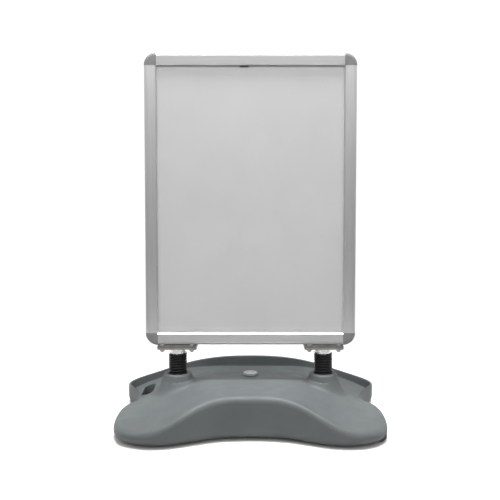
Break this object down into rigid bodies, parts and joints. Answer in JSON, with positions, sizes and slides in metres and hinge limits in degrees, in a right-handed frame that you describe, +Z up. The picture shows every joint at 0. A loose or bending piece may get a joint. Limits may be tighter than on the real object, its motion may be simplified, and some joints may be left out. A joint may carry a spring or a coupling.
{
  "type": "pavement sign",
  "caption": "Sprung pavement sign: silver snap frame with a blank sheet on each face, held by coil springs above a wheeled, water-filled moulded base.",
  "frame": {"origin": "on the ground under the middle of the base", "axes": "+Z up; the pictured face looks towards -Y; +X to the right as seen from in front"},
  "size_m": [0.815, 0.494, 1.13],
  "materials": {
    "tank_plastic": "satin moulded polyethylene, blue-grey",
    "insert_brass": "turned, hidden in the bosses",
    "seal_rubber": "matte",
    "cap_plastic": "light grey, slightly glossy",
    "bolt_zinc": "zinc plated",
    "wheel_plastic": "black, satin",
    "foot_plastic": "black",
    "spring_steel": "black powder coat, glossy",
    "collar_zinc": "bright zinc",
    "plate_steel": "dull plated steel",
    "shoe_steel": "dark plated steel",
    "carrier_aluminium": "satin anodised",
    "corner_plastic": "grey, satin",
    "core_board": "white board",
    "poster_paper": "blank sheet, matte",
    "cover_clear": "clear anti-glare sheet",
    "tab_plastic": "black, matte",
    "clip_steel": "spring steel",
    "rail_aluminium": "satin silver anodised"
  },
  "bodies": {
    "base": {"base_tank": "tank_plastic", "anchor_inserts": "insert_brass", "wheel_axles": "bolt_zinc", "spring_foot_left": "foot_plastic", "spring_foot_right": "foot_plastic", "foot_bolts": "bolt_zinc", "spring_left": "spring_steel", "spring_right": "spring_steel"},
    "seal": {"cap_seal": "seal_rubber"},
    "cap": {"filler_cap": "cap_plastic"},
    "front_wheel": {"wheel_front": "wheel_plastic"},
    "rear_wheel": {"wheel_rear": "wheel_plastic"},
    "panel": {"spring_collar_left": "collar_zinc", "spring_collar_right": "collar_zinc", "collar_bolts": "bolt_zinc", "collar_nuts": "bolt_zinc", "spring_plate_left": "plate_steel", "spring_plate_right": "plate_steel", "plate_bolts": "bolt_zinc", "plate_nuts": "bolt_zinc", "frame_shoe_left": "shoe_steel", "frame_shoe_right": "shoe_steel", "shoe_screws": "bolt_zinc", "tee_nuts": "bolt_zinc", "carrier_top": "carrier_aluminium", "carrier_bottom": "carrier_aluminium", "carrier_left": "carrier_aluminium", "carrier_right": "carrier_aluminium", "corner_top_left": "corner_plastic", "corner_top_right": "corner_plastic", "corner_bottom_left": "corner_plastic", "corner_bottom_right": "corner_plastic", "core_panel": "core_board", "poster_front": "poster_paper", "poster_back": "poster_paper", "cover_front": "cover_clear", "cover_back": "cover_clear", "pull_tab": "tab_plastic", "snap_springs_front": "clip_steel", "snap_springs_back": "clip_steel"},
    "rail_front_top_body": {"rail_front_top": "rail_aluminium"},
    "rail_front_bottom_body": {"rail_front_bottom": "rail_aluminium"},
    "rail_front_left_body": {"rail_front_left": "rail_aluminium"},
    "rail_front_right_body": {"rail_front_right": "rail_aluminium"},
    "rail_back_top_body": {"rail_back_top": "rail_aluminium"},
    "rail_back_bottom_body": {"rail_back_bottom": "rail_aluminium"},
    "rail_back_left_body": {"rail_back_left": "rail_aluminium"},
    "rail_back_right_body": {"rail_back_right": "rail_aluminium"}
  },
  "joints": [
    {"name": "panel_sway", "type": "hinge", "parent": "base", "child": "panel", "pos_m": [0, 0, 0.183], "axis": [1, 0, 0], "range_deg": [-20, 20], "stiffness_Nm_per_rad": 420, "deforming": ["spring_left", "spring_right"]},
    {"name": "seal_lift", "type": "slide", "parent": "base", "child": "seal", "axis": [0, 0, 1], "range_m": [0, 0.014]},
    {"name": "cap_turn", "type": "hinge", "parent": "seal", "child": "cap", "pos_m": [0, 0.05, 0.13], "axis": [0, 0, 1], "range_deg": [0, 1260]},
    {"name": "front_wheel_spin", "type": "hinge", "parent": "base", "child": "front_wheel", "pos_m": [0.373, -0.176, 0.0185], "axis": [0, 1, 0], "continuous": true},
    {"name": "rear_wheel_spin", "type": "hinge", "parent": "base", "child": "rear_wheel", "pos_m": [0.373, 0.176, 0.0185], "axis": [0, 1, 0], "continuous": true},
    {"name": "open_front_top", "type": "hinge", "parent": "panel", "child": "rail_front_top_body", "pos_m": [0, -0.0106, 1.126], "axis": [-1, 0, 0], "range_deg": [0, 100]},
    {"name": "open_front_bottom", "type": "hinge", "parent": "panel", "child": "rail_front_bottom_body", "pos_m": [0, -0.0106, 0.243], "axis": [1, 0, 0], "range_deg": [0, 45]},
    {"name": "open_front_left", "type": "hinge", "parent": "panel", "child": "rail_front_left_body", "pos_m": [-0.318, -0.0106, 0.6845], "axis": [0, 0, -1], "range_deg": [0, 100]},
    {"name": "open_front_right", "type": "hinge", "parent": "panel", "child": "rail_front_right_body", "pos_m": [0.318, -0.0106, 0.6845], "axis": [0, 0, 1], "range_deg": [0, 100]},
    {"name": "open_back_top", "type": "hinge", "parent": "panel", "child": "rail_back_top_body", "pos_m": [0, 0.0106, 1.126], "axis": [1, 0, 0], "range_deg": [0, 100]},
    {"name": "open_back_bottom", "type": "hinge", "parent": "panel", "child": "rail_back_bottom_body", "pos_m": [0, 0.0106, 0.243], "axis": [-1, 0, 0], "range_deg": [0, 45]},
    {"name": "open_back_left", "type": "hinge", "parent": "panel", "child": "rail_back_left_body", "pos_m": [-0.318, 0.0106, 0.6845], "axis": [0, 0, 1], "range_deg": [0, 100]},
    {"name": "open_back_right", "type": "hinge", "parent": "panel", "child": "rail_back_right_body", "pos_m": [0.318, 0.0106, 0.6845], "axis": [0, 0, -1], "range_deg": [0, 100]}
  ],
  "couplings": [
    {"joint": "seal_lift", "follows": "cap_turn", "m_per_rad": 0.00063662}
  ]
}
